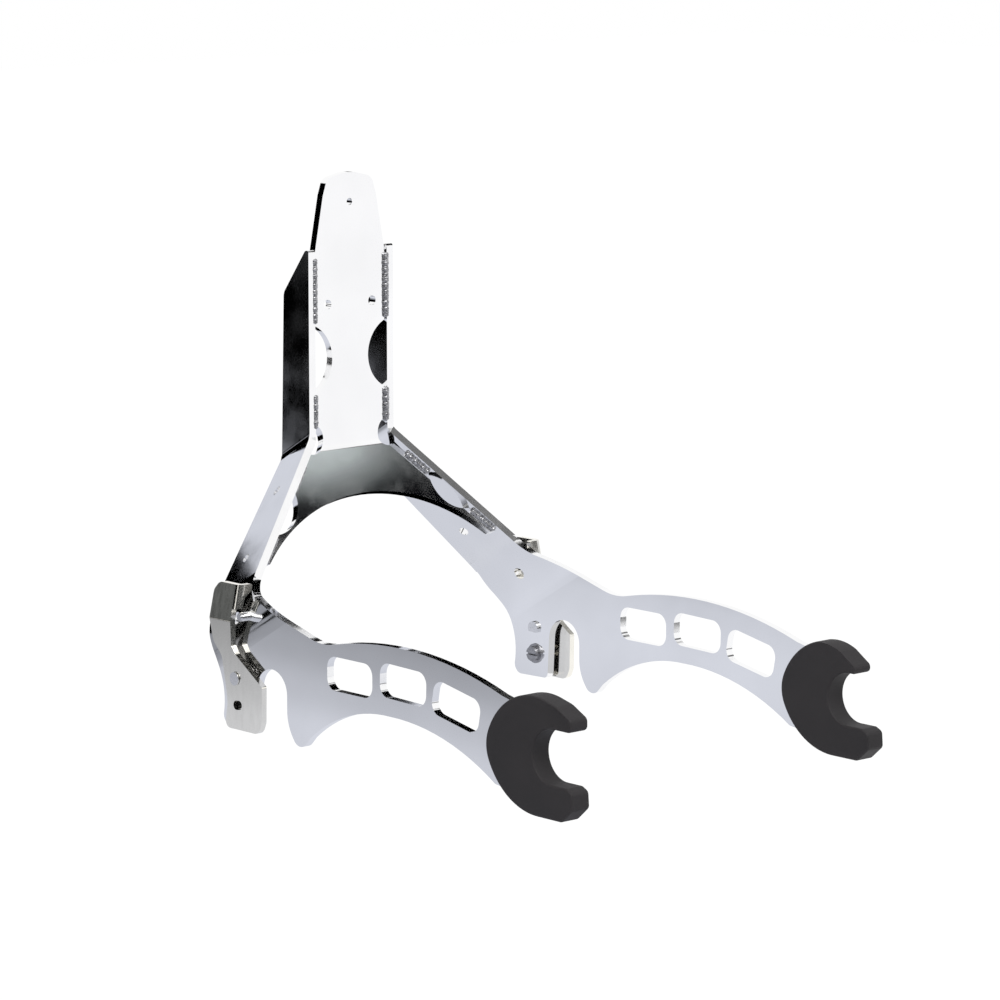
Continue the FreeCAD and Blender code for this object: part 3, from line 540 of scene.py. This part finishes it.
def studio_world(scene, level):
    """Even light from all sides, and a white room for the camera and the chrome."""
    world = scene.world or bpy.data.worlds.new("studio")
    scene.world = world
    world.use_nodes = True
    tree = world.node_tree
    tree.nodes.clear()
    even = tree.nodes.new("ShaderNodeBackground")
    even.inputs["Color"].default_value = (*WHITE, 1.0)
    even.inputs["Strength"].default_value = level
    room = tree.nodes.new("ShaderNodeBackground")
    room.inputs["Color"].default_value = (*WHITE, 1.0)
    room.inputs["Strength"].default_value = 1.0
    path = tree.nodes.new("ShaderNodeLightPath")
    either = tree.nodes.new("ShaderNodeMath")
    either.operation = "MAXIMUM"
    tree.links.new(path.outputs["Is Camera Ray"], either.inputs[0])
    tree.links.new(path.outputs["Is Glossy Ray"], either.inputs[1])
    seen = tree.nodes.new("ShaderNodeMixShader")
    tree.links.new(either.outputs["Value"], seen.inputs["Fac"])
    tree.links.new(even.outputs["Background"], seen.inputs[1])
    tree.links.new(room.outputs["Background"], seen.inputs[2])
    out = tree.nodes.new("ShaderNodeOutputWorld")
    tree.links.new(seen.outputs["Shader"], out.inputs["Surface"])


def flat_card(name, centre, facing, width, height, level, colour=WHITE, turn=0.0):
    """A card that only reflections see: it stands at centre and faces the given way."""
    bpy.ops.object.select_all(action="DESELECT")
    bpy.ops.mesh.primitive_plane_add(size=1.0, location=centre)
    card = bpy.context.object
    card.name = name
    for corner in card.data.vertices:
        corner.co.x *= width
        corner.co.y *= height
    roll = Quaternion((0.0, 0.0, 1.0), turn)
    card.rotation_euler = (Vector(facing).to_track_quat("Z", "Y") @ roll).to_euler()
    material = bpy.data.materials.new(name)
    material.use_nodes = True
    tree = material.node_tree
    tree.nodes.clear()
    glow = tree.nodes.new("ShaderNodeEmission")
    glow.inputs["Color"].default_value = (*colour, 1.0)
    glow.inputs["Strength"].default_value = level
    out = tree.nodes.new("ShaderNodeOutputMaterial")
    tree.links.new(glow.outputs["Emission"], out.inputs["Surface"])
    card.data.materials.append(material)
    card.visible_camera = False
    card.visible_diffuse = False
    card.visible_shadow = False
    return tree, glow


def floor_card(name, x, y, width, depth, level, colour=WHITE, lift=0.003):
    """A card that lies just over the floor."""
    flat_card(name, (x, y, FLOOR_LEVEL + lift), UPWARD, width, depth, level, colour)


def cards_behind():
    """The dark room and the grey papers behind the part."""
    # To the right: the dark room that the flanks and the bends show.
    flat_card("dark_room_right", (-1.65, 1.35, 0.55), (0.66, -0.73, 0.0), 2.6, 1.5, 0.0)
    flat_card("dark_flag_back", (-0.5, 1.75, 0.36), TO_FRONT, 1.19, 0.95, 0.0)
    # Low grey paper in front of it, for the bends' first part and the levers' leaning tabs.
    flat_card("grey_paper_low", (-0.75, 1.74, 0.085), TO_FRONT, 0.38, 0.21, 0.29, COOL_GREY)
    flat_card("grey_paper_foot", (-0.83, 1.74, -0.05), TO_FRONT, 0.54, 0.06, 0.29, COOL_GREY)
    flat_card("grey_card_tab", (-1.19, 1.58, 0.23), TO_TAB, 0.24, 0.22, 0.135, (0.95, 1.0, 1.04))
    flat_card("light_card_fold", (-1.205, 1.585, -0.005), TO_TAB, 0.10, 0.11, 0.7)
    # Grey paper for the outer faces of the legs, and the dark below it.
    flat_card("grey_paper_back", (0.345, 1.75, 0.626), TO_FRONT, 0.5, 0.588, 0.66, COOL_GREY)
    flat_card("dark_flag_low", (0.345, 1.75, 0.126), TO_FRONT, 0.5, 0.412, 0.0)


def cards_left():
    """The dark strips and flags to the left, for the edges that face up or forward."""
    # In the right arm's upper edge and in the lower edges of its slots.
    flat_card("dark_strip_left", (1.2, 1.52, 0.73), TO_RIGHT, 0.24, 1.20, 0.0, turn=-0.616)
    flat_card("dark_strip_foot", (1.2, 1.85, 0.13), TO_RIGHT, 0.2, 0.42, 0.0)
    flat_card("dark_flag_left", (1.2, 0.5, 1.55), TO_RIGHT, 2.3, 0.82, 0.0)
    # In the left leg's upper edge.
    flat_card("dark_flag_high", (1.71, -0.78, 1.29), (-0.71, 0.5, -0.5), 0.36, 0.36, 0.17)


def cards_on_floor():
    """The dark strips and the grey paper that lie on the floor."""
    # In the arch's lower edge and in the levers' flanges.
    floor_card("dark_strip_floor", 0.4205, 0.6765, 0.679, 0.547, 0.0)
    floor_card("dark_strip_far", 0.725, -0.295, 0.25, 0.25, 0.04, lift=0.004)
    floor_card("dark_strip_front", 0.36, -0.40, 0.30, 0.55, 0.06)
    # In the right flank's foot, and in the right lever's stem by way of the arm.
    floor_card("dark_strip_room", -1.165, 1.60, 0.37, 0.30, 0.0)
    floor_card("dark_strip_right", -0.66, -0.34, 0.30, 0.38, 0.03)
    # In the left arm's outer face, from its side.
    floor_card("grey_paper_left", 1.15, 0.06, 1.2, 0.72, 0.66, (0.97, 1.0, 1.08))


def cards_in_front():
    """The dark in the levers' rounded flanges and along their stems."""
    flat_card("dark_card_flange", (-0.45, -0.9, 0.12), TO_REAR, 2.2, 0.38, 0.055, GREEN_GREY)
    flat_card("dark_card_right", (-1.15, -0.3, 0.42), (0.82, 0.46, -0.2), 0.9, 0.7, 0.055, GREEN_GREY)
    flat_card("dark_flag_over", (-1.0, 0.52, 1.15), (0.6, -0.14, -0.79), 0.5, 0.5, 0.02)


def bridge_flag():
    """The dark flag that the bridge shows, with one soft light patch. It stands parallel to the bridge."""
    up_bridge = Vector((0.0, math.sin(BRIDGE_LEAN), math.cos(BRIDGE_LEAN)))
    off_bridge = (0.0, math.cos(BRIDGE_LEAN), -math.sin(BRIDGE_LEAN))
    # What the bridge shows at the flag's distance is this many times as large as the bridge.
    growth = (VIEW_DISTANCE + FLAG_DISTANCE) / VIEW_DISTANCE
    start = -FLAG_SIDE * growth
    end = FLAG_SIDE * growth + FLAG_LEFT_EXTRA
    low = -FLAG_DOWN * growth
    centre = Vector((0.0, UPRIGHT_FRONT, BRIDGE_FOOT)) + FLAG_DISTANCE * FLAG_AIM
    middle = centre + Vector(((start + end) / 2, 0.0, 0.0)) + (low + FLAG_UP) / 2 * up_bridge
    tree, glow = flat_card("dark_flag_front", middle, off_bridge, end - start, FLAG_UP - low, 1.0)

    patch = centre + growth * (Vector((PATCH_ACROSS, 0.0, 0.0)) + PATCH_UP * up_bridge)
    half_width = PATCH_HALF_WIDTH * growth
    half_height = PATCH_HALF_HEIGHT * growth * math.cos(BRIDGE_LEAN)
    place = tree.nodes.new("ShaderNodeNewGeometry")
    shifted = tree.nodes.new("ShaderNodeVectorMath")
    shifted.operation = "SUBTRACT"
    shifted.inputs[1].default_value = patch
    mapping = tree.nodes.new("ShaderNodeMapping")
    mapping.inputs["Scale"].default_value = (1 / half_width, 0.0, 1 / half_height)
    ball = tree.nodes.new("ShaderNodeTexGradient")
    ball.gradient_type = "SPHERICAL"
    tree.links.new(place.outputs["Position"], shifted.inputs[0])
    tree.links.new(shifted.outputs["Vector"], mapping.inputs["Vector"])
    tree.links.new(mapping.outputs["Vector"], ball.inputs["Vector"])
    ramp = tint(tree, ball.outputs["Fac"], PATCH_DARK, PATCH_LIGHT, 0.0, 0.85)
    ramp.color_ramp.interpolation = "EASE"
    tree.links.new(ramp.outputs["Color"], glow.inputs["Color"])


def soft_lamp(power):
    """A large lamp above in front, to the right."""
    bpy.ops.object.select_all(action="DESELECT")
    bpy.ops.object.light_add(type="AREA", location=(-0.7, -1.0, 1.9))
    lamp = bpy.context.object
    lamp.name = "soft_lamp"
    lamp.data.shape = "RECTANGLE"
    lamp.data.size = 1.6
    lamp.data.size_y = 1.2
    lamp.data.energy = power
    lamp.rotation_euler = (VIEW_TARGET - lamp.location).to_track_quat("-Z", "Y").to_euler()
    lamp.visible_camera = False


def photo_camera(scene):
    """The camera at the photograph's viewing angle."""
    data = bpy.data.cameras.new("photo_camera")
    camera = bpy.data.objects.new("photo_camera", data)
    scene.collection.objects.link(camera)
    camera.location = VIEW_TARGET + VIEW_DISTANCE * VIEW_BACK
    camera.rotation_euler = VIEW_BACK.to_track_quat("Z", "Y").to_euler()
    data.sensor_fit = "HORIZONTAL"
    data.sensor_width = SENSOR_WIDTH
    data.lens = VIEW_LENS
    data.clip_end = 60.0
    scene.camera = camera


class BACKREST_OT_stage(bpy.types.Operator):
    """Pale floor, soft light, the cards that the chrome shows, and the camera."""

    bl_idname = "backrest.stage"
    bl_label = "Stage"

    def execute(self, context):
        scene = context.scene
        stage = scene.backrest_stage
        scene.view_settings.view_transform = "Standard"
        studio_floor(stage.floor_size)
        studio_world(scene, stage.world_level)
        cards_behind()
        cards_left()
        cards_on_floor()
        cards_in_front()
        bridge_flag()
        soft_lamp(stage.lamp_power)
        photo_camera(scene)
        return {"FINISHED"}


class BACKREST_PT_looks(bpy.types.Panel):
    """The backrest's pieces and finishes."""

    bl_idname = "BACKREST_PT_looks"
    bl_label = "Backrest"
    bl_space_type = "VIEW_3D"
    bl_region_type = "UI"
    bl_category = "Backrest"

    def draw(self, context):
        column = self.layout.column()
        for name in ("chrome", "weld", "zinc", "rubber"):
            column.prop(context.scene.backrest_finish, name)
        for name in ("ripple_radius", "chrome_roughness", "rubber_roughness"):
            column.prop(context.scene.backrest_finish, name)
        for name in ("floor_size", "lamp_power", "world_level"):
            column.prop(context.scene.backrest_stage, name)
        for operator in OPERATORS:
            column.operator(operator.bl_idname)


OPERATORS = (BACKREST_OT_plates, BACKREST_OT_levers, BACKREST_OT_pins, BACKREST_OT_welds, BACKREST_OT_washers,
             BACKREST_OT_bolts, BACKREST_OT_bushes, BACKREST_OT_jaws, BACKREST_OT_stage)
CLASSES = (BackrestFinish, BackrestStage, *OPERATORS, BACKREST_PT_looks)


def register():
    for item in CLASSES:
        bpy.utils.register_class(item)
    bpy.types.Scene.backrest_finish = PointerProperty(type=BackrestFinish)
    bpy.types.Scene.backrest_stage = PointerProperty(type=BackrestStage)


def unregister():
    del bpy.types.Scene.backrest_stage
    del bpy.types.Scene.backrest_finish
    for item in reversed(CLASSES):
        bpy.utils.unregister_class(item)


def main():
    register()
    bpy.ops.backrest.plates()
    bpy.ops.backrest.levers()
    bpy.ops.backrest.pins()
    bpy.ops.backrest.welds()
    bpy.ops.backrest.washers()
    bpy.ops.backrest.bolts()
    bpy.ops.backrest.bushes()
    bpy.ops.backrest.jaws()
    bpy.ops.backrest.stage()


if __name__ == "__main__":
    main()
